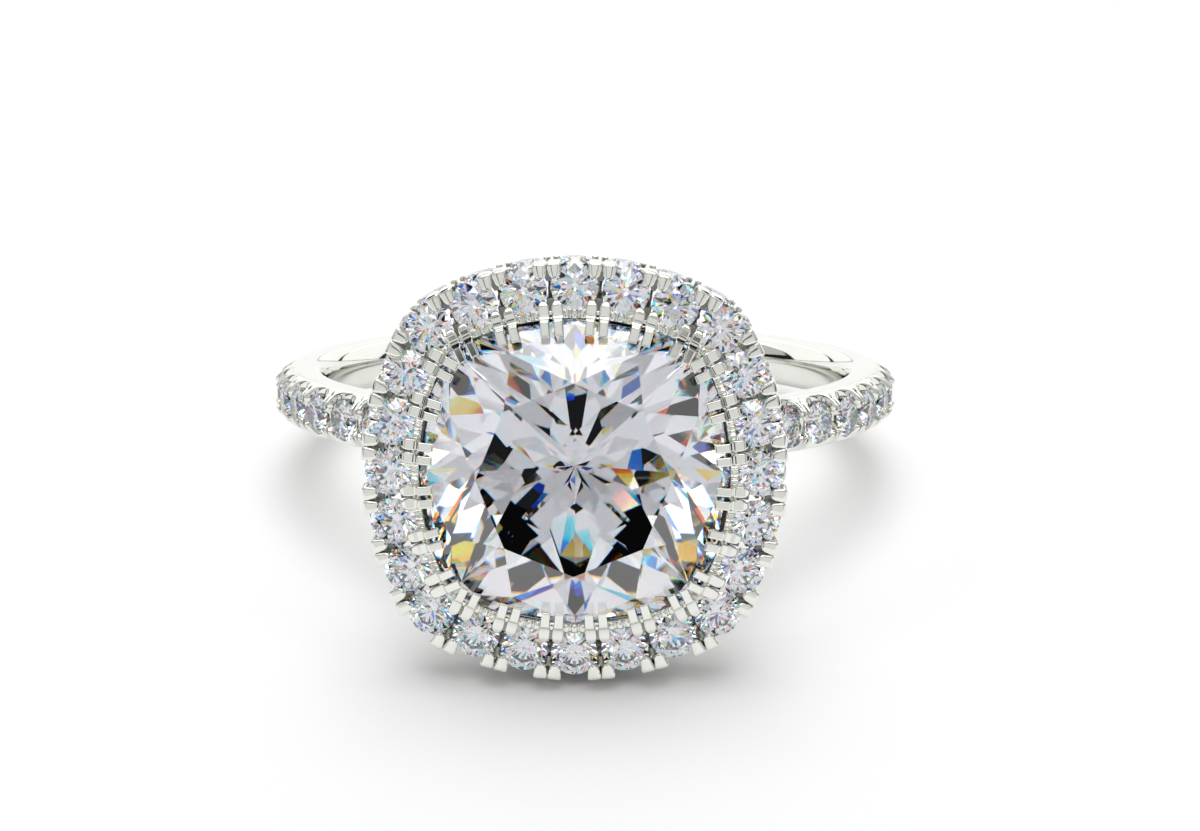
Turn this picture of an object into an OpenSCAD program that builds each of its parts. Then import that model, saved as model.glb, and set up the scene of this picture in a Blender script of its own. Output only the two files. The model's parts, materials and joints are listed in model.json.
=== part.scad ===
/* [Band] */
// Inside diameter of the finger hole, a common ring size
finger_d = 17.3; // [15:0.1:21]
// Width of the band along the finger
band_w = 1.7; // [1.6:0.05:2.4]
// Thickness of the band from the finger hole to its outer face
band_t = 1.65; // [1.4:0.05:2.2]
// Width of the straight wall in the middle of the finger hole
bore_flat = 0.6; // [0.4:0.05:0.9]
// How far the rounded inner edges cut back into the side faces
comfort_t = 0.5; // [0.3:0.05:0.6]
// Bevel on the band's two outer edges
edge_bevel = 0.15; // [0.08:0.01:0.2]

/* [Centre stone] */
// Width of the square cushion across its sides
centre_w = 8.36; // [7.6:0.02:9.2]
// Radius of each bowed side of the cushion
side_r = 6.7; // [6:0.1:9]
// Radius of the cushion's four corners
corner_r = 0.5; // [0.3:0.05:1]
// Width of the table across its corners
table_w = 5.2; // [4.6:0.1:5.8]
// Height of the crown above the girdle
crown_h = 1.1; // [0.9:0.05:1.3]
// Thickness of the girdle
girdle_t = 0.08; // [0.05:0.01:0.15]
// Depth of the pavilion below the girdle
pavilion_h = 4.05; // [3.6:0.05:4.5]

/* [Small stones] */
// Diameter of the stones in the halo's front row
front_d = 1.27; // [1.1:0.01:1.28]
// Least gap between neighbouring front stones
front_gap = 0.08; // [0.08:0.01:0.3]
// Outward lean of the front stones in degrees
front_lean = 5; // [0:1:8]
// Diameter of the stones in the halo's side row
side_d = 1.1; // [1:0.01:1.15]
// Least gap between neighbouring side stones
side_gap = 0.15; // [0.12:0.01:0.3]
// Diameter of the stones along the band
band_d = 1.3; // [1.2:0.01:1.32]
// Least gap between neighbouring band stones
band_gap = 0.19; // [0.15:0.01:0.3]
// Angle from the head at which the band's last stone may sit
pave_end = 104; // [80:1:130]

/* [Setting] */
// Metal ledge between the centre stone and the front row
ledge_w = 0.195; // [0.15:0.005:0.3]
// Drop from the front stones' girdles to the side stones' axes
side_drop = 0.98; // [0.96:0.01:1.05]
// How far the side stones' girdles stand outside the front row's line
side_out = 0.54; // [0.5:0.01:0.6]
// Depth of the halo frame below the front stones' girdles
frame_h = 1.7; // [1.7:0.02:2]
// Thickness of the wall round the centre stone
wall_t = 0.2; // [0.15:0.01:0.25]
// Width of the shelf under the centre stone's edge
shelf_w = 0.3; // [0.2:0.01:0.4]
// Thickness of the two thin rails above and below the side stones
rail_w = 0.14; // [0.12:0.01:0.16]
// Drop from the front stones' girdles to the upper thin rail
rail_drop = 0.32; // [0.32:0.01:0.33]
// Width of the ribs between the front stones
rib_w = 0.1; // [0.08:0.01:0.12]
// Width of the posts between the side stones
post_w = 0.16; // [0.12:0.01:0.18]
// Gap between the pavilion's tip and the band's outer face
culet_gap = 0.5; // [0.3:0.05:1]
// Width of the lower gallery rail outside
gallery_w = 4.7; // [4:0.1:5.4]
// Width of the gallery rail's metal
gallery_t = 0.6; // [0.5:0.05:0.8]
// Height of the lower gallery rail
gallery_h = 0.9; // [0.7:0.05:1.2]
// Radius of the struts from the gallery rail to the halo
strut_r = 0.3; // [0.25:0.01:0.4]
// Gap between each stone and the metal round it
seat_gap = 0.03; // [0.02:0.005:0.05]

/* [Prongs] */
// Width of each inner prong, which grips a front stone and the centre stone
bar_w = 0.22; // [0.18:0.01:0.26]
// Spacing of the two prongs of a pair
bar_pair = 0.36; // [0.3:0.01:0.4]
// How far the inner prongs reach over the centre stone's edge
bar_reach = 0.42; // [0.3:0.01:0.5]
// How far the inner prongs run out between the front stones
bar_run = 0.52; // [0.4:0.01:0.6]
// Height of the inner prongs above the front stones' girdles
bar_h = 0.36; // [0.34:0.01:0.45]
// Thickness of the tips over the centre stone
tip_t = 0.14; // [0.1:0.01:0.2]
// Width of each outer claw
claw_w = 0.35; // [0.3:0.01:0.4]
// Spacing of the two claws of a pair
claw_pair = 0.38; // [0.36:0.01:0.45]
// Length of the claws over the front stones and the halo's edge
claw_l = 0.44; // [0.36:0.01:0.5]
// How far the claws stand outside the front row's line
claw_out = 0.72; // [0.7:0.01:0.85]
// Height of the outer claws above the front stones' girdles
claw_h = 0.34; // [0.3:0.01:0.4]
// Width of each small prong of the side row
nib_w = 0.19; // [0.16:0.01:0.24]
// Spacing of the side row's paired small prongs
nib_pair = 0.27; // [0.25:0.01:0.32]
// Height of the side row's small prongs
nib_h = 0.26; // [0.22:0.01:0.3]
// Radius of the scallops in the band's edges beside each stone
scallop_h = 0.6; // [0.45:0.01:0.65]
// Half the width of the groove that splits each prong of the band
split_w = 0.08; // [0.05:0.01:0.1]
// Depth of that groove
split_h = 0.3; // [0.15:0.01:0.4]

/* [Hidden] */
metal = "#d8d8d4";
stone_colour = "#eef2f8";

// Overlaps that join solids of one casting, and the small steps that keep their faces apart
joint = 0.1;
nudge = 0.02;
bore_r = finger_d / 2;
band_r = bore_r + band_t;
seat_r = band_d / 2 + seat_gap;

// The cushion outline is four bowed sides and four corner arcs, and all its rails are parallel to it
bow = side_r - centre_w / 2;
half_t = girdle_t / 2;
corner_c = (sqrt(2 * pow(side_r - corner_r, 2) - bow * bow) - bow) / 2;
side_turn = atan2(corner_c, corner_c + bow);
front_off = ledge_w + front_d / 2;
side_off = front_off + side_out;
wall_in = seat_gap;

// The thin rails' outer face lies this far inside the side stones' girdles
rail_off = side_off - 0.08;

// The steepest slopes of the centre stone's crown and of its pavilion at the edge
tip_slope = 1.06;
pavilion_slope = 1.55;

// The shelf's top keeps below the pavilion, which is steepest at its edge, and its foot above the frame's
shelf_drop = half_t + pavilion_slope * shelf_w + seat_gap;
shelf_foot = 0.5;

// Drop from the girdles to the ribs, how deep and how high the stones' seats are bored,
// and how far the inner prongs and the claws reach down
rib_drop = 0.06;
seat_low = 0.25;
side_seat_low = 0.1;
grip_z = 0.2;
bar_root = 0.4;
claw_root = rail_drop + 0.08;

// Pockets under the band's stones, the distance from the gallery to the first of them,
// and the depth of their girdles below the band's outer face
band_pocket = 0.62;
pocket_r = 0.1;
pave_clear = 0.6;
band_sink = 0.2;

// Lengths along a quarter of the outline, parallel at distance off
function side_run(off) = (side_r + off) * side_turn * PI / 180;
function corner_run(off) = (corner_r + off) * (90 - 2 * side_turn) * PI / 180;
function quarter(off) = 2 * side_run(off) + corner_run(off);

// The direction of the outline's normal at distance s along the outline
function turn_in(s, off) =
    s < side_run(off) ? s / (side_r + off) * 180 / PI
    : s < side_run(off) + corner_run(off)
        ? side_turn + (s - side_run(off)) / (corner_r + off) * 180 / PI
        : 90 - (quarter(off) - s) / (side_r + off) * 180 / PI;
function turn_at(s, off) =
    floor(s / quarter(off)) * 90 + turn_in(s - floor(s / quarter(off)) * quarter(off), off);

// The outline's point whose normal points along t, for t within a quarter turn and then for any t
function rim_in(t, off) =
    t <= side_turn ? [(side_r + off) * cos(t) - bow, (side_r + off) * sin(t)]
    : t <= 90 - side_turn
        ? [corner_c + (corner_r + off) * cos(t), corner_c + (corner_r + off) * sin(t)]
        : [(side_r + off) * cos(t), (side_r + off) * sin(t) - bow];
function spin(p, t) = [p.x * cos(t) - p.y * sin(t), p.x * sin(t) + p.y * cos(t)];
function rim(t, off) = spin(rim_in(t - floor(t / 90) * 90, off), floor(t / 90) * 90);
function outline(off) = [
    for (q = [0:3])
        for (t = concat(
            [for (i = [0:5]) side_turn * i / 6],
            [for (i = [0:2]) side_turn + (90 - 2 * side_turn) * i / 3],
            [for (i = [0:5]) 90 - side_turn * (6 - i) / 6]
        )) rim(t + q * 90, off)
];

// Counts of stones: each row fills its line evenly and is the same on all four sides
front_count = 4 * floor(quarter(front_off) / (front_d + front_gap));
side_count = 4 * floor(quarter(side_off) / (side_d + side_gap));
front_pitch = 4 * quarter(front_off) / front_count;
side_pitch = 4 * quarter(side_off) / side_count;
band_girdle_r = band_r - band_sink;
band_pitch = (band_d + band_gap) / band_girdle_r * 180 / PI;
pave_start = asin((gallery_w / 2 + seat_r + pave_clear) / band_r);
band_count = floor((pave_end - pave_start) / band_pitch) + 1;

// Heights above the ring's centre
girdle_z = band_r + culet_gap + pavilion_h + half_t;
frame_low = girdle_z - frame_h;
gallery_low = sqrt(band_r * band_r - gallery_w * gallery_w / 4) - joint;

// The ring lies on the halo's lower prongs and the band's back edge
nib_low = frame_low + nudge;
rest_y = front_off + centre_w / 2 + claw_out;
rest_r = band_r - edge_bevel;
rest_tilt = atan2(rest_y - band_w / 2, nib_low + rest_r);
lift = rest_y * cos(rest_tilt) - nib_low * sin(rest_tilt);
front_y = -(girdle_z + half_t + crown_h) * cos(rest_tilt) - table_w / 2 * sin(rest_tilt);
back_y = band_r * cos(rest_tilt) + (band_w / 2 - edge_bevel) * sin(rest_tilt);
shift = -(front_y + back_y) / 2;

function two_digits(i) = i < 10 ? str("0", i) : str(i);
front_names = [for (i = [1:front_count]) str("halo_stone_", two_digits(i))];

// Turns a ring that stands upright, its head on top, to the way it lies
module lay() translate([0, shift, lift]) rotate([90 - rest_tilt, 0, 0]) children();

// Places a piece on the outline: its X points outward and its Y along the row
module at_rim(t, off, z) translate([rim(t, off).x, rim(t, off).y, z]) rotate([0, 0, t]) children();

// Places a piece on the band, its Z pointing away from the finger
module at_band(angle, r) rotate([0, angle, 0]) translate([0, 0, r]) children();

// The bore for a round stone's girdle
module seat(d, low) translate([0, 0, -low])
    cylinder(r = d / 2 + seat_gap, h = low + grip_z, $fn = 32);

module front_seats()
    for (i = [0:front_count - 1])
        at_rim(turn_at(i * front_pitch, front_off), front_off, girdle_z)
            rotate([0, front_lean, 0]) children();

module front_gaps(off)
    for (i = [0:front_count - 1])
        at_rim(turn_at((i + 0.5) * front_pitch, front_off), off, girdle_z) children();

module side_seats()
    for (i = [0:side_count - 1])
        at_rim(turn_at(i * side_pitch, side_off), side_off, girdle_z - side_drop)
            rotate([0, 90, 0]) children();

module side_gaps(off, z)
    for (i = [0:side_count - 1])
        at_rim(turn_at((i + 0.5) * side_pitch, side_off), off, z) children();

module band_seats(hand)
    for (i = [0:band_count - 1])
        at_band(hand * (pave_start + i * band_pitch), band_girdle_r) children();

// Round brilliant: a unit stone's corners in rings of 8 or 16
table_r = 0.56;
crown_k = 0.3;
star_r = 0.78;
main_r = 0.25;
depth_k = 0.86;
edge_k = 0.03;
function ring_of(count, r, z, start) =
    [for (i = [0:count - 1]) [r * cos(start + i * 360 / count), r * sin(start + i * 360 / count), z]];
star_z = crown_k * (1 - star_r * cos(22.5)) / (1 - table_r);
main_z = -depth_k * (1 - main_r * cos(22.5));
round_corners = concat(
    ring_of(8, table_r, edge_k + crown_k, 0), ring_of(8, star_r, edge_k + star_z, 22.5),
    ring_of(16, 1, edge_k, 0), ring_of(16, 1, -edge_k, 0),
    ring_of(8, main_r, main_z - edge_k, 22.5), [[0, 0, -depth_k - edge_k]]
);
round_facets = concat(
    [[for (i = [7:-1:0]) i]],
    [for (i = [0:7]) [i, (i + 1) % 8, 8 + i]],
    [for (i = [0:7]) [i, 8 + i, 16 + 2 * i, 8 + (i + 7) % 8]],
    [for (i = [0:7]) [8 + i, 17 + 2 * i, 16 + 2 * i]],
    [for (i = [0:7]) [8 + i, 16 + (2 * i + 2) % 16, 17 + 2 * i]],
    [for (i = [0:15]) [16 + i, 16 + (i + 1) % 16, 32 + (i + 1) % 16, 32 + i]],
    [for (i = [0:7]) [32 + 2 * i, 33 + 2 * i, 48 + i]],
    [for (i = [0:7]) [33 + 2 * i, 32 + (2 * i + 2) % 16, 48 + i]],
    [for (i = [0:7]) [32 + 2 * i, 48 + i, 56, 48 + (i + 7) % 8]]
);
module brilliant(d) polyhedron(points = round_corners * d / 2, faces = round_facets);

// Cushion brilliant: corners by direction, 0 to 7, even ones on the sides and odd ones on the corners
reach = [centre_w / 2, norm(rim(45, 0))];
star_h = 0.564 * crown_h;

// The pavilion's steep upper facets end at a break, and three rings of corners below it come closer to
// the tip: each has a share of the break's reach on the sides and of the height from it to the tip
break_z = -0.227 * pavilion_h;
break_r = [0.849 * reach[0], 0.854 * reach[1]];
main_share = [0.507, 0.537];
tip_share = [0.268, 0.76];
point_share = [0.118, 0.898];
function ring_at(share, count, start) = ring_of(count, share[0] * break_r[0],
    break_z - share[1] * (pavilion_h + break_z) - half_t, start);

// How far a kite facet of direction j reaches at height z
function crown_at(j, z) = reach[j % 2] - (reach[j % 2] - table_w / 2) * z / crown_h;
// The corner where two neighbouring facets meet, from how far each one reaches
function meet(p, q, j) = spin([p, (q - p * cos(45)) / sin(45)], 45 * j);
function at(p, z) = [p.x, p.y, z];
function between(j, k) = 45 * j + (j % 2 == 0 ? [0, 19, 31][k] : [0, 14, 26][k]);
girdle_points = [for (j = [0:7]) for (k = [0:2]) rim(between(j, k), 0)];
cushion_corners = concat(
    ring_of(8, table_w / 2, half_t + crown_h, 0),
    [for (j = [0:7]) at(meet(crown_at(j, star_h), crown_at(j + 1, star_h), j), half_t + star_h)],
    [for (p = girdle_points) at(p, half_t)],
    [for (p = girdle_points) at(p, -half_t)],
    [for (j = [0:7]) at(spin([break_r[j % 2], 0], 45 * j), break_z - half_t)],
    ring_at(main_share, 8, 22.5),
    ring_at(tip_share, 4, 0),
    ring_at(point_share, 8, 22.5),
    [[0, 0, -pavilion_h - half_t]]
);
// Where each group of corners starts in the list
star_0 = 8;
high_0 = 16;
low_0 = 40;
break_0 = 64;
main_0 = 72;
tip_0 = 80;
point_0 = 84;
culet_0 = 92;
function after(j) = (j + 1) % 8;
function before(j) = (j + 7) % 8;
function edge(i) = i % 24;
cushion_facets = concat(
    [[for (j = [7:-1:0]) j]],
    [for (j = [0:7]) [j, after(j), star_0 + j]],
    [for (j = [0:7]) [j, star_0 + j, high_0 + 3 * j, star_0 + before(j)]],
    [for (j = [0:7]) for (k = [0:2]) [star_0 + j, high_0 + edge(3 * j + k + 1), high_0 + 3 * j + k]],
    [for (i = [0:23]) [high_0 + i, high_0 + edge(i + 1), low_0 + edge(i + 1), low_0 + i]],
    [for (j = [0:2:6]) each [
        [low_0 + 3 * j, low_0 + 3 * j + 1, break_0 + j],
        [low_0 + 3 * j + 1, break_0 + j + 1, break_0 + j],
        [low_0 + 3 * j + 1, low_0 + 3 * j + 2, break_0 + j + 1],
        [low_0 + 3 * j + 2, low_0 + 3 * j + 3, break_0 + j + 1]
    ]],
    [for (j = [1:2:7]) each [
        [low_0 + 3 * j, low_0 + 3 * j + 1, break_0 + j],
        [low_0 + 3 * j + 1, low_0 + 3 * j + 2, break_0 + j],
        [low_0 + 3 * j + 2, break_0 + after(j), break_0 + j],
        [low_0 + 3 * j + 2, low_0 + edge(3 * j + 3), break_0 + after(j)]
    ]],
    [for (j = [0:7]) [break_0 + j, break_0 + after(j), main_0 + j]],
    [for (j = [0:2:6]) each [
        [break_0 + j, main_0 + j, tip_0 + j / 2],
        [break_0 + j, tip_0 + j / 2, main_0 + before(j)],
        [main_0 + j, point_0 + j, tip_0 + j / 2],
        [tip_0 + j / 2, point_0 + before(j), main_0 + before(j)],
        [tip_0 + j / 2, point_0 + j, culet_0],
        [tip_0 + j / 2, culet_0, point_0 + before(j)]
    ]],
    [for (j = [1:2:7]) each [
        [break_0 + j, main_0 + j, point_0 + j],
        [break_0 + j, point_0 + j, culet_0],
        [break_0 + j, culet_0, point_0 + before(j)],
        [break_0 + j, point_0 + before(j), main_0 + before(j)]
    ]]
);

// The band: flat sides, rounded inner edges and a straight wall in the middle of the finger hole
function comfort(i) = [
    bore_r + comfort_t * (1 - cos(i * 15)),
    bore_flat / 2 + (band_w - bore_flat) / 2 * sin(i * 15)
];
half_section = concat(
    [for (i = [0:6]) comfort(i)],
    [[band_r - edge_bevel, band_w / 2], [band_r, band_w / 2 - edge_bevel]]
);
module band_blank()
    rotate([90, 0, 0]) rotate_extrude($fn = 180)
        polygon(concat(half_section, [for (i = [len(half_section) - 1:-1:0])
            [half_section[i].x, -half_section[i].y]]));

// A pocket for each stone, scallops in both edges and a groove that splits each prong in two
module band_cuts() {
    for (hand = [-1, 1]) {
        band_seats(hand) rotate_extrude($fn = 32) polygon([
            [0, -band_pocket], [pocket_r, -band_pocket], [seat_r, -seat_gap], [seat_r, 1], [0, 1]
        ]);
        band_seats(hand) translate([0, 0, band_sink]) rotate([90, 0, 0])
            cylinder(r = scallop_h, h = band_w + 1, center = true, $fn = 32);
        for (i = [0:band_count])
            at_band(hand * (pave_start + (i - 0.5) * band_pitch), band_r)
                rotate([90, 0, 0]) linear_extrude(band_w + 1, center = true)
                    polygon([[-split_w, joint], [0, -split_h], [split_w, joint]]);
    }
}

// The rails of the head, each a wall between two parallel outlines
module rail(off_in, off_out, low, high) translate([0, 0, low]) linear_extrude(high - low)
    difference() {
        polygon(outline(off_out));
        polygon(outline(off_in));
    }

// The halo is an open frame: a wall round the centre stone with a shelf for its pavilion,
// two thin outer rails that the side stones sit between, and ribs and posts that join them
module halo_frame() {
    rail(wall_in, wall_in + wall_t, frame_low, girdle_z);
    rail(-shelf_w, wall_in + joint, frame_low + shelf_foot, girdle_z - shelf_drop);
    rail(rail_off - rail_w, rail_off, girdle_z - rail_drop - rail_w, girdle_z - rail_drop);
    rail(rail_off - 2 * rail_w, rail_off, frame_low, frame_low + rail_w);
    front_gaps(0) translate([wall_in + joint, -rib_w / 2, -rail_drop - rail_w / 2])
        cube([rail_off - wall_in - joint - rail_w / 2, rib_w, rail_drop + rail_w / 2 - rib_drop]);
    side_gaps(0, frame_low) {
        translate([rail_off - rail_w - nudge, -post_w / 2, rail_w / 2])
            cube([rail_w, post_w, frame_h - rail_drop - rail_w]);
        translate([wall_in + joint, -post_w / 2, nudge / 2])
            cube([rail_off - wall_in - joint - rail_w / 2, post_w, rail_w + nudge]);
    }
}

// The gallery is a square frame on the band, and eight struts rise from it to the halo,
// those at the corners from farther out
corner_foot = 1.3;
module gallery() {
    translate([0, 0, gallery_low]) linear_extrude(gallery_h) difference() {
        square(gallery_w, center = true);
        square(gallery_w - 2 * gallery_t, center = true);
    }
    for (t = [0:45:315]) {
        out = norm(rim(t, 0)) + wall_t;
        foot = (t % 90 == 0 ? 1 : corner_foot) * (gallery_w - gallery_t) / 2;
        rise = frame_low + strut_r - gallery_low - gallery_h / 2;
        rotate([0, 0, t]) translate([foot, 0, gallery_low + gallery_h / 2])
            rotate([0, atan2(out - foot, rise), 0])
                cylinder(r = strut_r, h = norm([out - foot, rise]), $fn = 32);
    }
}

// An inner prong: a bar with a round end between two front stones, and a higher tip that slopes
// up with the crown of the centre stone
round_end = [for (i = [0:6]) [sin(i * 30), cos(i * 30)] * bar_w / 2];
bar_shape = concat([for (p = round_end) [wall_in + bar_run - bar_w / 2 + p.x, p.y]],
    [[wall_in, -bar_w / 2], [wall_in, bar_w / 2]]);
tip_low = half_t + seat_gap + tip_slope * bar_reach;
tip_top = tip_low + tip_t;
tip_end = wall_in + joint / 2;
tip_shape = [
    [tip_end, bar_h - joint], [tip_end, tip_top - tip_t / 3], [tip_end - tip_t / 2, tip_top],
    [tip_t / 2 - bar_reach, tip_top], [-bar_reach, tip_top - tip_t / 2], [-bar_reach, tip_low],
    [0, half_t + seat_gap]
];
module inner_prongs()
    front_gaps(0) for (y = [-1, 1]) translate([0, y * bar_pair / 2, 0]) {
        translate([0, 0, -bar_root]) linear_extrude(bar_h + bar_root) polygon(bar_shape);
        rotate([90, 0, 0]) linear_extrude(bar_w - nudge, center = true) polygon(tip_shape);
    }

// An outer claw: round over the front stone and square over the halo's edge
claw_side = [[0, 0.46], [0.3, 0.5], [0.7, 0.5], [0.92, 0.36], [1, 0.16]];
claw_shape = concat(
    [for (p = claw_side) [-p.x * claw_l, p.y * claw_w]],
    [for (i = [len(claw_side) - 1:-1:0]) [-claw_side[i].x * claw_l, -claw_side[i].y * claw_w]]
);
module outer_claws()
    front_gaps(front_off + claw_out) for (y = [-1, 1])
        translate([0, y * claw_pair / 2, -claw_root]) linear_extrude(claw_h + claw_root)
            polygon(claw_shape);

// Four small prongs stand between neighbouring stones of the side row
nib_l = front_off + claw_out - rail_off + rail_w;
module side_nibs()
    side_gaps(rail_off - rail_w, girdle_z) for (y = [-1, 1])
        translate([0, y * nib_pair / 2 - nib_w / 2, 0]) {
            translate([0, 0, nib_low - girdle_z]) cube([nib_l, nib_w, nib_h]);
            translate([0, 0, -rail_drop - nib_h]) cube([nib_l, nib_w, nib_h - nudge / 2]);
        }

// The setting is one casting: band, gallery, halo frame and every prong, bored for the stones' girdles
module ring_setting() color(metal) lay() {
    difference() {
        band_blank();
        band_cuts();
    }
    gallery();
    difference() {
        union() {
            halo_frame();
            inner_prongs();
            outer_claws();
            side_nibs();
        }
        front_seats() seat(front_d, seat_low);
        side_seats() seat(side_d, side_seat_low);
    }
}

module centre_stone() color(stone_colour) lay() translate([0, 0, girdle_z])
    polyhedron(points = cushion_corners, faces = cushion_facets);

module halo_stone(i) color(stone_colour) lay()
    at_rim(turn_at(i * front_pitch, front_off), front_off, girdle_z)
        rotate([0, front_lean, 0]) brilliant(front_d);

module halo_side_stones() color(stone_colour) lay() side_seats() brilliant(side_d);
module band_stones(hand) color(stone_colour) lay() band_seats(hand) brilliant(band_d);

ring_setting();
centre_stone();
halo_side_stones();
band_stones(-1);  // band_stones_left
band_stones(1);  // band_stones_right
for (i = [0:front_count - 1]) halo_stone(i);
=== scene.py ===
import json

import bpy
import numpy as np
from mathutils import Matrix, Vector


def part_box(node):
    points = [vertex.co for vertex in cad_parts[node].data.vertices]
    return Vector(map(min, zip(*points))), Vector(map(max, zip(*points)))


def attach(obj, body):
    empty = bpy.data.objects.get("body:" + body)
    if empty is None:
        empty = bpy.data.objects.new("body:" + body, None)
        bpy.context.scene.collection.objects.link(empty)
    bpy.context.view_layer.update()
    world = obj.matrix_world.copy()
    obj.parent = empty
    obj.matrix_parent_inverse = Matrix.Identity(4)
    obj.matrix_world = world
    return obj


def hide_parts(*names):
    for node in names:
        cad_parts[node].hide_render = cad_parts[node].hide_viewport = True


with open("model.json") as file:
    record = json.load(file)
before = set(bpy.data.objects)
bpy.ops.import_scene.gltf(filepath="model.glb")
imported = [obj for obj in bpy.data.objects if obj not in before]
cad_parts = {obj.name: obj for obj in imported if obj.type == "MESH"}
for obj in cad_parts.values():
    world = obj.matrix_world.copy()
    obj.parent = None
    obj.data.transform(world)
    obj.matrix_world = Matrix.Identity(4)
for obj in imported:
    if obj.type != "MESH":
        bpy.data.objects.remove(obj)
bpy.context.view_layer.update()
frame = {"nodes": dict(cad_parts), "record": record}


# The band: cast in 14 carat white gold, filed and polished, with a rounded comfort fit inside and plain at
# the back. A pocket and a U-shaped scallop are cut under each shoulder stone, and a groove splits the metal
# left between two stones. The rest of the ring setting is soldered on it.

# The ring lies on its side. All sizes are in mm in its own axes: x to the right, y along the finger and z
# out through the head. The finger hole's mount gives its centre and that turn.
bore = next(mount for mount in frame["record"]["mounts"] if mount["name"] == "finger_bore")
bore_r = bore["dims"]["r_mm"]
ring_centre = np.array(bore["pos_m"]) * 1000
finger_way = np.array(bore["axis"]) / np.linalg.norm(bore["axis"])
right_way = np.array([1.0, 0.0, 0.0])
ring_axes = np.array([right_way, finger_way, np.cross(right_way, finger_way)])


def lay(points):
    """Points of the ring's own axes where it lies, in metres: its centre plus x, y and z times the axes."""
    return (ring_centre + np.asarray(points, float) @ ring_axes) / 1000


def linear(code):
    """An sRGB hex colour as linear RGBA, by the sRGB curve."""
    part = np.array([int(code[i : i + 2], 16) for i in (1, 3, 5)]) / 255
    curve = np.where(part <= 0.04045, part / 12.92, ((part + 0.055) / 1.055) ** 2.4)
    return (*curve.tolist(), 1.0)


def add(tree, kind, links=(), **settings):
    """Adds a node, sets its properties and sockets by name, and links (socket, from node, output) to it."""
    node = tree.nodes.new(kind)
    for name, value in settings.items():
        if hasattr(node, name):
            setattr(node, name, value)
        else:
            node.inputs[name.replace("_", " ")].default_value = value
    for socket, source, output in links:
        tree.links.new(source.outputs[output], node.inputs[socket])
    return node


def new_material(name):
    """A node material with nothing in it but its output."""
    material = bpy.data.materials.new(name)
    material.use_nodes = True
    material.node_tree.nodes.clear()
    return material, material.node_tree, add(material.node_tree, "ShaderNodeOutputMaterial")


# White gold, rhodium plated and polished to a mirror. It shows the studio, a little warmer and greyer than
# chrome, and the last traces of the polishing wheel blur it in faint patches 1 mm across.
white_gold, tree, output = new_material("polished white gold")
patches_per_m = 1000.0
place = add(tree, "ShaderNodeTexCoord")
trace = add(tree, "ShaderNodeTexNoise", [("Vector", place, "Object")], Scale=patches_per_m, Detail=3.0)
haze = add(tree, "ShaderNodeMapRange", [("Value", trace, "Fac")], To_Min=0.03, To_Max=0.1)
tint = add(tree, "ShaderNodeMix", [("Factor", trace, "Fac")], data_type="RGBA")
tint.inputs["A"].default_value = linear("#ecede7")
tint.inputs["B"].default_value = linear("#e5e6df")
looks = [("Base Color", tint, "Result"), ("Roughness", haze, "Result")]
metal = add(tree, "ShaderNodeBsdfPrincipled", looks, Metallic=1.0)
tree.links.new(metal.outputs["BSDF"], output.inputs["Surface"])


def solid(name, grids, ring=False, finish=white_gold):
    """One mesh of closed shells, from grids of the shape (shells, rows, columns, 3) in mm. A row is a loop
    that runs counter-clockwise about the way the rows go on. The rows join in a ring, or end in a face."""
    shells, rows, columns = grids.shape[:3]
    index = np.arange(shells * rows * columns).reshape(shells, rows, columns)
    here = index if ring else index[:, :-1]
    there = np.roll(index, -1, axis=1) if ring else index[:, 1:]
    quads = np.stack([here, np.roll(here, -1, 2), np.roll(there, -1, 2), there], -1).reshape(-1, 4)
    ends = [] if ring else index[:, 0, ::-1].tolist() + index[:, -1].tolist()
    mesh = bpy.data.meshes.new(name)
    mesh.from_pydata(lay(grids.reshape(-1, 3)), [], quads.tolist() + ends)
    mesh.shade_smooth()
    mesh.materials.append(finish)
    piece = bpy.data.objects.new(name, mesh)
    bpy.context.scene.collection.objects.link(piece)
    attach(piece, "root")
    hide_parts("ring_setting")


band_t, band_w = 1.65, 1.7
band_r = bore_r + band_t
comfort_t, shoulder_w, shoulder_h = 0.5, 0.42, 0.62
gallery_w, gallery_t, gallery_h = 4.7, 0.6, 0.9
stone_d, stone_gap, stone_sink, seat_gap = 1.3, 0.19, 0.2, 0.03
scallop_r, scallop_h, seat_slope = 0.57, 0.5, 0.95
groove_w, groove_h, saddle_w, saddle_h, saddle_reach = 0.045, 0.4, 0.2, 0.2, 0.42
pave_clear, pave_end = 0.6, 104
seat_r = stone_d / 2 + seat_gap
stone_step = stone_d + stone_gap
pitch = np.degrees(stone_step / (band_r - stone_sink))
pave_start = np.degrees(np.arcsin((gallery_w / 2 + seat_r + pave_clear) / band_r))
band_count = int((pave_end - pave_start) // pitch) + 1


def along_band(angle):
    """How far an angle is from the nearest stone's middle and from the nearest gap's, in mm along the
    girdles: what is left after rounding its place in the row, times the step between stones."""
    place = (np.abs(angle) - pave_start) / pitch
    stone = place - np.clip(np.round(place), 0, band_count - 1)
    gap = place + 0.5 - np.clip(np.round(place + 0.5), 0, band_count)
    return stone * stone_step, gap * stone_step


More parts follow.
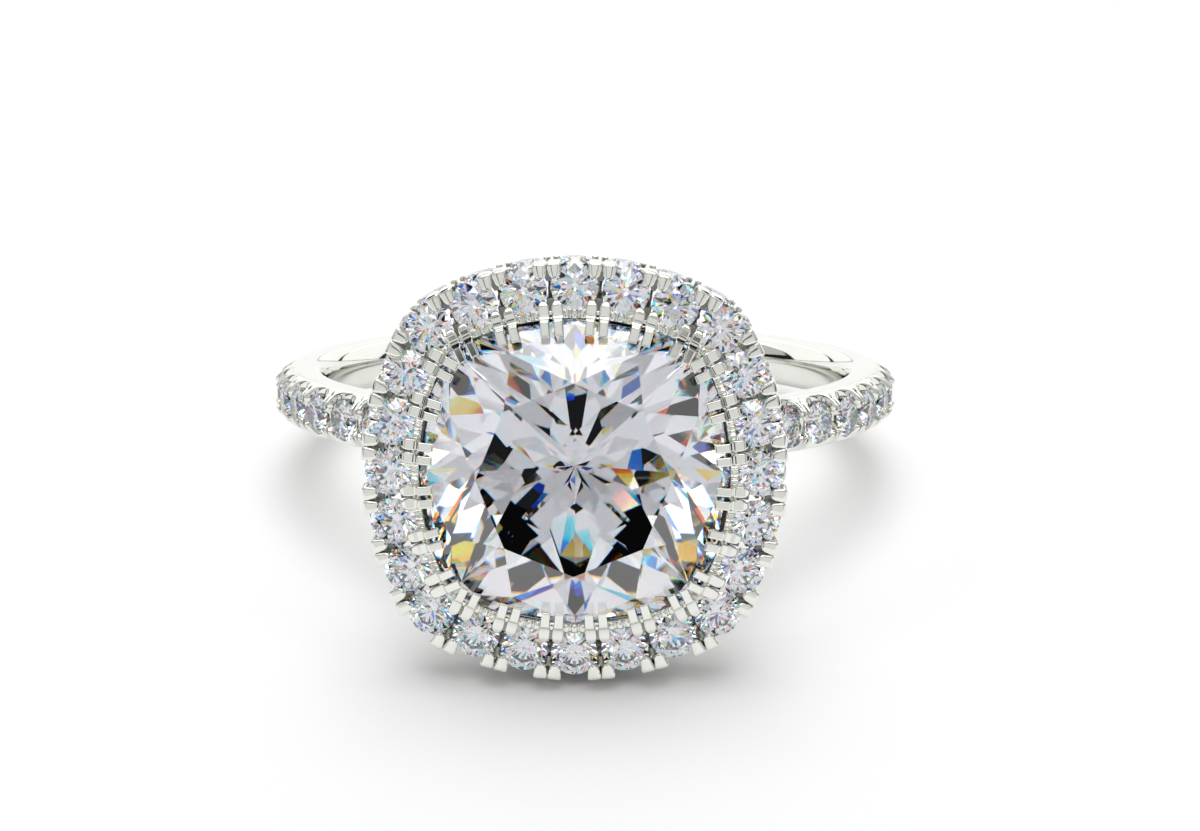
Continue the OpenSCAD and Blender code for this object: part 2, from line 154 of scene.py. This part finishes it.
def cuts(along, gap, across):
    """The depth of metal cut away: the deepest of the rounded shoulder, a half-round scallop along the band,
    a cone under the stone, and a groove and a shallow saddle in each gap, blended by a high power norm."""
    rest = np.clip((band_w / 2 - np.abs(across)) / shoulder_w, 0, 1)
    shoulder = shoulder_h * (1 - np.sqrt(rest)) + 0 * along
    scallop = scallop_h * np.sqrt(np.clip(1 - (along / scallop_r) ** 2, 0, 1))
    radius = np.hypot(along, across)
    seat = np.where(radius < seat_r, stone_sink + seat_gap + seat_slope * (seat_r - radius), 0)
    groove = groove_h * np.exp(-((gap / groove_w) ** 4))
    fade = np.clip((saddle_reach - np.abs(across)) / 0.3, 0, 1)
    saddle = saddle_h * np.exp(-((gap / saddle_w) ** 2)) * fade
    return (shoulder**8 + scallop**8 + seat**8 + groove**8 + saddle**8) ** (1 / 8)


# The band's rows of points lie close together along the stones, and a degree apart elsewhere.
fine = np.arange(pave_start - pitch, pave_start + (band_count + 0.2) * pitch, pitch / 36)
back = np.arange(fine[-1] + 1, 360 - fine[-1] - 0.5, 1.0)
angle = np.concatenate([fine, back, 360 - fine[::-1]])
angle = np.concatenate([angle, np.arange(angle[-1] - 360 + 1, fine[0] - 0.5, 1.0) + 360])
turn = np.where(angle > 180, angle - 360, angle)[:, None]

# Each row is a loop: the outer face, the near edge, the comfort fit and the far edge.
across = band_w / 2 * np.sin(np.linspace(np.pi / 2, -np.pi / 2, 51))
along, gap = along_band(turn)
face = band_r - cuts(along, gap, across)
down = np.linspace(0, 1, 7)[1:-1]
inner = bore_r + comfort_t
near_side = face[:, -1:] + (inner - face[:, -1:]) * down
far_side = inner + (face[:, :1] - inner) * down
fit = np.linspace(-np.pi / 2, np.pi / 2, 25)
fit_r = bore_r + comfort_t * (1 - np.cos(fit)) + 0 * turn
radius = np.hstack([face, near_side, fit_r, far_side])
edge = np.full(len(down), band_w / 2)
y = np.concatenate([across, -edge, band_w / 2 * np.sin(fit), edge]) + 0 * turn
band = np.stack([radius * np.sin(np.radians(turn)), y, radius * np.cos(np.radians(turn))], -1)
solid("band", band[None], ring=True)


# The band's prongs: each groove leaves two small claws on either edge of the band, of the band's own white
# gold. They are pushed over the girdles of the stones at their two sides and rounded with a cupped burr.
def bar(stations, radius, dome=0.0):
    """A bar along x through (x, half width, low, high) stations, with every edge rounded by radius: at the
    distance d from an end, r - sqrt(r^2 - (r - d)^2) comes off all sides. A dome lowers its top's edges
    with the square of y. Extra rows by the edges keep the flat faces flat, and no row is left empty."""
    stations = np.array(stations)
    start, end = stations[[0, -1], 0]
    arc = np.radians([0, 30, 60, 90])
    corner = radius * (1 - np.cos(arc))
    flat = start + 1.6 * radius, end - 1.6 * radius
    middle = stations[(stations[:, 0] > flat[0]) & (stations[:, 0] < flat[1]), 0]
    x = np.concatenate([[start], start + corner, flat[:1], middle, flat[1:], end - corner[::-1], [end]])
    half_w, low, high = (np.interp(x, stations[:, 0], stations[:, n]) for n in (1, 2, 3))
    depth = np.clip(radius - np.minimum(x - start, end - x), 0, radius)
    inset = radius - np.sqrt(radius**2 - depth**2)
    inset[[0, -1]] *= 1.4
    least = np.full(len(x), 0.15 * radius)
    least[[0, -1]] *= 0.6
    half_w = np.maximum(half_w - inset, least)[:, None]
    half_h = np.maximum((high - low) / 2 - inset, least)[:, None]
    left = np.maximum(radius - inset, 0.2 * radius)[:, None]
    round_r = np.minimum(left, 0.55 * np.minimum(half_w, half_h))
    by_y, by_z = np.array([0, *(1 - np.cos(arc)), 1.6]), np.array([1.6, *(1 - np.sin(arc)), 0])
    down_y, up_y = half_w - by_y * round_r, by_y[::-1] * round_r - half_w
    top_y = np.concatenate([down_y, half_w * [0.4, 0, -0.4], up_y], 1)
    side_y = np.concatenate([top_y, -down_y, -up_y], 1)
    down_z, up_z = half_h - by_z * round_r, half_h - by_z[::-1] * round_r
    top_z = np.concatenate([down_z, half_h + 0 * arc[:3], up_z], 1) - dome * (top_y / half_w) ** 2
    z = (low + high)[:, None] / 2 + np.concatenate([top_z, -down_z, -up_z], 1)
    return np.stack([x[:, None] + 0 * z, side_y, z], -1)


prong_x, prong_y, prong_l, prong_w, prong_h = 0.09, 0.52, 0.44, 0.12, 0.2
ends = np.linspace(-1, 1, 9)
hump = np.sqrt(1 - 0.75 * ends**2)
high = 0.06 * (hump - 1) - 0.2 * ends - 0.1 * ends**2
claw = bar(np.stack([ends * prong_l / 2, prong_w / 2 * hump, high - prong_h * hump, high], -1), 0.03, 0.02)
gap_angles = pave_start + (np.arange(band_count + 1) - 0.5) * pitch
claws = []
for spot in np.radians(np.concatenate([-gap_angles, gap_angles])):
    c, s = np.cos(spot), np.sin(spot)
    for edge_side in (-1, 1):
        for offset in (-prong_x, prong_x):
            x, y = offset - edge_side * claw[..., 1], edge_side * (claw[..., 0] + prong_y)
            z = claw[..., 2] + band_r
            claws.append(np.stack([x * c + z * s, y, z * c - x * s], -1))
solid("band_prongs", np.array(claws))


# The halo's frame: a wall round the centre stone with a shelf and a beaded ledge, and two thin rails outside
# that hold the side row, all along the stone's outline of four bowed sides and four corner arcs. It is cast
# in one in white gold and cleaned with thread.
stone_low, stone_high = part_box("centre_stone")
side_bow_r, corner_r = 6.7, 0.5
bow = side_bow_r - (stone_high.x - stone_low.x) * 1000 / 2
corner_c = (np.sqrt(2 * (side_bow_r - corner_r) ** 2 - bow**2) - bow) / 2
side_turn = np.degrees(np.arctan2(corner_c, corner_c + bow))
front_d, side_d, ledge_w, side_out, side_gap = 1.27, 1.1, 0.195, 0.54, 0.15
front_off = ledge_w + front_d / 2
side_off = front_off + side_out
culet_gap, pavilion_h, half_girdle = 0.5, 4.05, 0.04
girdle_z = band_r + culet_gap + pavilion_h + half_girdle
frame_h, rail_w, rail_drop, wall_in, wall_out, bead_h, bead_l = 1.7, 0.14, 0.32, 0.1, 0.23, 0.1, 0.26
frame_low, rail_top = girdle_z - frame_h, girdle_z - rail_drop
rail_off = side_off - 0.08


def rim(turn, off):
    """The point off mm outside the outline where its normal points along turn, in degrees: on the side's big
    circle or the corner's small one, turned to its quarter."""
    quarter = np.floor(turn / 90)
    part = turn - 90 * quarter
    c, s = np.cos(np.radians(part)), np.sin(np.radians(part))
    side, corner = side_bow_r + off, corner_c + (corner_r + off) * np.array([c, s])
    first, last = part <= side_turn, part > 90 - side_turn
    x = np.where(first, side * c - bow, np.where(last, side * c, corner[0]))
    y = np.where(first, side * s, np.where(last, side * s - bow, corner[1]))
    c, s = np.cos(np.radians(90 * quarter)), np.sin(np.radians(90 * quarter))
    return np.stack([x * c - y * s, x * s + y * c], -1)


def quarter_run(off):
    """The outline's length at the ends of its side, corner and side, in one quarter: radius times angle."""
    side = (side_bow_r + off) * np.radians(side_turn)
    corner = (corner_r + off) * np.radians(90 - 2 * side_turn)
    return np.cumsum([0, side, corner, side])


def turn_at(run, off):
    """The normal's direction at a length run along the outline: it grows evenly along each arc."""
    marks = quarter_run(off)
    return 90 * (run // marks[-1]) + np.interp(run % marks[-1], marks, [0, side_turn, 90 - side_turn, 90])


front_count = sum(name.startswith("halo_stone_") for name in frame["nodes"])
front_pitch = 4 * quarter_run(front_off)[-1] / front_count
front_gaps = turn_at((np.arange(front_count) + 0.5) * front_pitch, front_off)


def rounded(sides, square):
    """The loop of a rounded square, counter-clockwise: cosine and sine, each raised to 2 / square."""
    turns = (np.arange(sides) + 0.5) * 2 * np.pi / sides
    c, s = np.cos(turns), np.sin(turns)
    return np.sign(c) * np.abs(c) ** (2 / square), np.sign(s) * np.abs(s) ** (2 / square)


def rail(off_low, off_high, low, high, square=3.0, bead=0.0):
    """A rail round the outline: a rounded square from off_low to off_high and from low to high. Its top
    swells by bead in three beads behind each front stone, with the absolute value of a cosine to the 0.4."""
    turns = turn_at(np.arange(0, 4 * quarter_run(0)[-1], 0.022), 0)
    c, s = rounded(16, square)
    marks = quarter_run(front_off)
    run = marks[-1] * (turns // 90) + np.interp(turns % 90, [0, side_turn, 90 - side_turn, 90], marks)
    ahead = np.abs((run / front_pitch + 0.5) % 1 - 0.5) * front_pitch
    beads = bead * (np.abs(np.cos(ahead / bead_l * np.pi)) ** 0.4 * (ahead < 1.5 * bead_l))[:, None]
    off = (off_low + off_high) / 2 + (off_high - off_low) / 2 * s[None] + 0 * beads
    z = (low + high) / 2 + (high - low) / 2 * c[None] + beads * (c > 0)
    return np.concatenate([rim(turns[:, None], off), z[..., None]], -1)[None]


# White gold left duller where no wheel reaches into the halo, and much greyer than the polished metal: the
# grey is painted shade in the recesses of the wall and the webs between the stones.
shade_grey_gold, tree, output = new_material("white gold greyed as painted shade")
shade_grey_metal = add(tree, "ShaderNodeBsdfPrincipled", Base_Color=linear("#a2a39e"), Metallic=1.0, Roughness=0.22)
tree.links.new(shade_grey_metal.outputs["BSDF"], output.inputs["Surface"])
wall = rail(wall_in, wall_out, frame_low, girdle_z - 0.2, 6.0)
# The wall round the centre stone takes the grey metal: painted shade in its recess.
solid("stone_wall", wall, ring=True, finish=shade_grey_gold)
solid("beaded_ledge", rail(0.01, wall_out, girdle_z - 0.3, girdle_z + 0.05, 10.0, bead_h), ring=True)
solid("stone_shelf", rail(-0.29, 0.12, frame_low + 0.5, girdle_z - 0.56), ring=True)
solid("upper_rail", rail(rail_off - rail_w, rail_off, rail_top - rail_w, rail_top), ring=True)
solid("lower_rail", rail(rail_off - 2 * rail_w, rail_off, frame_low, frame_low + rail_w), ring=True)


# Ribs and posts: a thin web of the grey metal, painted shade, between two front stones, pierced twice, and a
# polished post between two side stones with a spoke under it. They are cast with the frame and tie its wall
# to its rails.
def along_rim(shape, turns, off, z, spread=(0.0,)):
    """Copies of a grid at each turn of the outline, x outwards, off mm outside it and z high, one for each
    shift in spread along the row: the outline's point plus the grid turned to its normal."""
    base = rim(turns, off)[:, None, None]
    c, s = (f(np.radians(turns))[:, None, None] for f in (np.cos, np.sin))
    copies = []
    for shift in spread:
        x, y = shape[..., 0], shape[..., 1] + shift
        spot = [base[..., 0] + x * c - y * s, base[..., 1] + x * s + y * c, shape[..., 2] + z + 0 * c]
        copies.append(np.stack(spot, -1))
    return np.concatenate(copies)


web_low, web_high, web_half, web_clear, hole_r = -0.42, -0.12, 0.1, 0.015, 0.07
x = np.linspace(0.12, 1.3, 60)
reach = np.sqrt(np.clip((front_d / 2) ** 2 - (x - front_off) ** 2, 0, None))
half = np.clip(front_pitch / 2 - web_clear - reach, 0, web_half)
holes = 0.6 * sum(np.exp(-(((x - middle) / hole_r) ** 4)) for middle in (0.64, 0.91))
web = bar(np.stack([x, half, web_low - 0.6 * holes, web_high - holes], -1), 0.02)
# The webs take the grey metal: painted shade between the front stones.
solid("webs", along_rim(web, front_gaps, 0, girdle_z), finish=shade_grey_gold)

side_count = 4 * int(quarter_run(side_off)[-1] // (side_d + side_gap))
side_pitch = 4 * quarter_run(side_off)[-1] / side_count
side_gaps = turn_at((np.arange(side_count) + 0.5) * side_pitch, side_off)
post_half, post_low, post_high = 0.08, 0.05, frame_h - rail_drop - 0.05
spoke_low, spoke_high = 0.01, 0.15
post = bar([(x, post_half, post_low, post_high) for x in (rail_off - rail_w, rail_off)], 0.04)
spoke = bar([(x, post_half, spoke_low, spoke_high) for x in (0.12, rail_off - 0.04)], 0.04)
solid("posts", along_rim(post, side_gaps, 0, frame_low))
solid("spokes", along_rim(spoke, side_gaps, 0, frame_low))


# The inner prongs: pairs of narrow white-gold bars between the front stones, cast with the frame. The outer
# half is a bullet-shaped bead over two of them, and the inner half is bent over the centre stone's crown.
tip_w, bullet_w, bullet_l, bar_pair, bar_run, bar_reach = 0.24, 0.3, 0.23, 0.365, 0.53, 0.4
x = [-bar_reach, -0.2, -0.02, 0, 0.015, 0.03, 0.045, 0.06, 0.075, 0.09, 0.105, 0.12, 0.24, 0.28]
x = np.concatenate([x, bar_run - bullet_l * (1 - np.sin(np.linspace(0, np.pi / 2 - 0.2, 9)))])
half = np.interp(x, [0.0, 0.1], [tip_w / 2, bullet_w / 2])
half *= np.sqrt(1 - np.clip((x - bar_run + bullet_l) / bullet_l, 0, 0.985) ** 2)
step = 0.5 - 0.5 * np.cos(np.pi * np.clip(x / 0.12, 0, 1))
top = np.interp(x, [-bar_reach, 0, 0.4, bar_run], [0.61, 0.59, 0.57, 0.5]) - 0.19 * step
under = np.interp(x, [-bar_reach, 0, 0.02, 0.035, 0.24, 0.28], [0.53, 0.08, 0.06, -0.3, -0.3, 0.18])
prong = bar(np.stack([x, half, np.minimum(under, top - 0.07), top], -1), 0.03)
pair = (-bar_pair / 2, bar_pair / 2)
solid("inner_prongs", along_rim(prong, front_gaps, 0, girdle_z, pair))


# The outer claws: petal-shaped pairs of white gold over the outer edge of the front stones, cast with the
# frame and bent down on the stones. They are round towards the stones, and their feet reach the upper rail.
claw_out, claw_l, claw_pair, petal_r = 0.72, 0.47, 0.385, 0.16
round_end = petal_r * (1 - np.sin(np.linspace(np.pi / 2 - 0.2, 0, 9)))
share = np.concatenate([round_end, np.linspace(0.18, claw_l, 9)])
x = claw_out - claw_l + share
half = np.sqrt(1 - np.clip(1 - share / petal_r, 0, 0.985) ** 2)
half *= np.interp(share, [0, 0.32, 0.42, claw_l], [0.13, 0.19, 0.19, 0.165])
top = np.interp(share, [0, 0.4, claw_l - 0.04, claw_l], [0.35, 0.34, 0.32, 0.28])
under = np.interp(x, [0.24, 0.44, 0.48], [0.2, 0.2, -0.4])
petal = bar(np.stack([x, half, under, top], -1), 0.05, 0.012)
pair = (-claw_pair / 2, claw_pair / 2)
solid("outer_claws", along_rim(petal, front_gaps, front_off, girdle_z, pair))


# The side row's prongs: four short white-gold studs round each gap, cast with the rails and pushed over the
# side stones. Two are under the front row and two at the frame's foot.
nib_w, nib_h, nib_pair, nib_r = 0.19, 0.26, 0.27, 0.035
nib_start, upper_end, lower_end = rail_off - rail_w, side_off + 0.12, 1.55
pair = (-nib_pair / 2, nib_pair / 2)
nibs = []
for nib_end, low in ((upper_end, rail_top - nib_h), (lower_end, frame_low + 0.02)):
    nib = bar([(x, nib_w / 2, 0, nib_h) for x in (nib_start, nib_end)], nib_r)
    nibs.append(along_rim(nib, side_gaps, 0, low, pair))
solid("side_prongs", np.concatenate(nibs))


# The gallery: a square of drawn white-gold wire soldered on the band, and eight round wires that rise from
# it to the halo's frame and are soldered to both.
strut_r, corner_foot, wall_t, joint = 0.3, 1.3, 0.2, 0.1
gallery_z = np.sqrt(band_r**2 - gallery_w**2 / 4) - joint + gallery_h / 2
side_len = (gallery_w - gallery_t) / 2
turns = np.radians(np.linspace(0, 360, 160, endpoint=False))
c, s = rounded(14, 3.0)
reach = (np.abs(np.cos(turns)) ** 9 + np.abs(np.sin(turns)) ** 9) ** (-1 / 9)
off = (side_len + gallery_t / 2 * s[None]) * reach[:, None]
z = gallery_z + gallery_h / 2 * c[None] + 0 * off
loop = np.stack([off * np.cos(turns)[:, None], off * np.sin(turns)[:, None], z], -1)
solid("gallery", loop[None], ring=True)

wires = []
for way in np.arange(0, 360, 45.0):
    foot = side_len * (1.0 if way % 90 == 0 else corner_foot)
    x = np.linspace(foot, np.linalg.norm(rim(np.array(way), 0)) + wall_t, 4)
    z = np.linspace(gallery_z, frame_low + strut_r, 4)
    half = strut_r * np.hypot(1, (z[-1] - z[0]) / (x[-1] - x[0]))
    wire = bar(np.stack([x, strut_r + 0 * x, z - half, z + half], -1), strut_r * 0.9)
    x, y, z = wire[..., 0], wire[..., 1], wire[..., 2]
    c, s = np.cos(np.radians(way)), np.sin(np.radians(way))
    wires.append(np.stack([x * c - y * s, x * s + y * c, z], -1))
solid("struts", np.array(wires))


# The stones: round and cushion brilliants, cut flat and polished without a haze, each held by its prongs.
# They are the CAD's own facets.

# Diamond has a high index of refraction that grows from the red to the blue end. Light is split in three
# bands where it enters and leaves, which gives fire, and the facets mirror it whole inside.
diamond, tree, output = new_material("cut diamond")
bands = [
    add(tree, "ShaderNodeBsdfRefraction", Color=linear(code), Roughness=0.0, IOR=index)
    for code, index in (("#dd6f2f", 2.385), ("#74c879", 2.42), ("#2f7ae0", 2.475))
]
warm = add(tree, "ShaderNodeAddShader", [(0, bands[0], "BSDF"), (1, bands[1], "BSDF")])
whole = add(tree, "ShaderNodeAddShader", [(0, warm, "Shader"), (1, bands[2], "BSDF")])
mirror = add(tree, "ShaderNodeBsdfAnisotropic", Color=linear("#ffffff"), Roughness=0.0)
edge = add(tree, "ShaderNodeFresnel", IOR=2.42)
facet = add(tree, "ShaderNodeMixShader", [(0, edge, "Fac"), (1, whole, "Shader"), (2, mirror, "BSDF")])
tree.links.new(facet.outputs["Shader"], output.inputs["Surface"])
for name, node in frame["nodes"].items():
    if name != "ring_setting":
        node.data.materials.clear()
        node.data.materials.append(diamond)


# The studio: a table top of white paper with softboxes round it and a dark room between them, which the
# polished metal and the stones mirror. The gaps between the softboxes give the dark lines on both.
paper, tree, output = new_material("white paper")
sheet = add(tree, "ShaderNodeBsdfPrincipled", Base_Color=linear("#fbfbfb"), Roughness=0.9)
tree.links.new(sheet.outputs["BSDF"], output.inputs["Surface"])
table_front, table_back, table_side = -0.08, 1.2, 1.0
corners = [(-table_side, table_front), (table_side, table_front)]
corners += [(table_side, table_back), (-table_side, table_back)]
floor_mesh = bpy.data.meshes.new("floor")
floor_mesh.from_pydata([(x, y, 0) for x, y in corners], [], [(0, 1, 2, 3)])
floor_mesh.materials.append(paper)
floor = bpy.data.objects.new("floor", floor_mesh)
bpy.context.scene.collection.objects.link(floor)

world = bpy.data.worlds.new("studio")
bpy.context.scene.world = world
world.use_nodes = True
world.node_tree.nodes["Background"].inputs["Color"].default_value = linear("#1e1f20")
world.node_tree.nodes["Background"].inputs["Strength"].default_value = 1.0
head_centre = Vector(lay([0, 0, girdle_z]))


def softbox(name, azimuths, heights, brightness):
    """A softbox 0.5 m from the head between two azimuths from the front and two heights over the table, in
    degrees as the head sees them, with its brightness as a radiance."""
    distance = 0.5
    lamp = bpy.data.lights.new(name, "AREA")
    lamp.shape = "RECTANGLE"
    lamp.size, lamp.size_y = (2 * distance * np.tan(np.radians(b - a) / 2) for a, b in (azimuths, heights))
    lamp.energy = brightness * np.pi * lamp.size * lamp.size_y
    a, h = np.radians(sum(azimuths) / 2), np.radians(sum(heights) / 2)
    light = bpy.data.objects.new(name, lamp)
    way = Vector((np.sin(a) * np.cos(h), -np.cos(a) * np.cos(h), np.sin(h)))
    light.location = head_centre + way * distance
    light.rotation_euler = way.to_track_quat("Z", "Y").to_euler()
    bpy.context.scene.collection.objects.link(light)


softbox("top left light", (-40, -3), (50, 76), 1.7)
softbox("top right light", (4, 40), (50, 76), 1.7)
softbox("overhead left light", (-44, -3), (86, 125), 1.5)
softbox("overhead right light", (4, 44), (86, 125), 1.5)
softbox("low front left light", (-30, -8), (-8, 18), 0.8)
softbox("high front left light", (-31, -7), (23, 44), 0.55)
softbox("wide front left light", (-60, -35), (-8, 44), 0.75)
softbox("low front right light", (6, 27), (-8, 18), 0.8)
softbox("high front right light", (5, 28), (23, 44), 0.7)
softbox("wide front right light", (32, 58), (-8, 44), 0.65)
softbox("front strip", (-6.5, 4.5), (5, 32), 0.8)
softbox("left light", (-112, -64), (8, 50), 0.55)
softbox("right light", (62, 110), (8, 50), 0.5)
softbox("back left light", (-150, -114), (0, 45), 1.15)
softbox("back light", (151, 209), (0, 45), 1.15)
softbox("back right light", (114, 150), (0, 45), 1.15)


# The camera looks at the head from the photo's side and height, through a lens of the photo's view.
azimuth, height, distance = np.radians(1.4), np.radians(11.4), 56.3
level = distance * np.cos(height)
eye = lay([level * np.sin(azimuth), distance * np.sin(height), girdle_z + level * np.cos(azimuth)])
aim = lay([0.68, 1.56, girdle_z])
lens = bpy.data.cameras.new("camera")
lens.sensor_width, lens.lens = 36.0, 62.8
lens.clip_start, lens.clip_end = 0.001, 10.0
camera = bpy.data.objects.new("camera", lens)
camera.location = eye
camera.rotation_euler = (Vector(eye) - Vector(aim)).to_track_quat("Z", "Y").to_euler()
bpy.context.scene.collection.objects.link(camera)
bpy.context.scene.camera = camera
bpy.context.scene.view_settings.view_transform = "Standard"
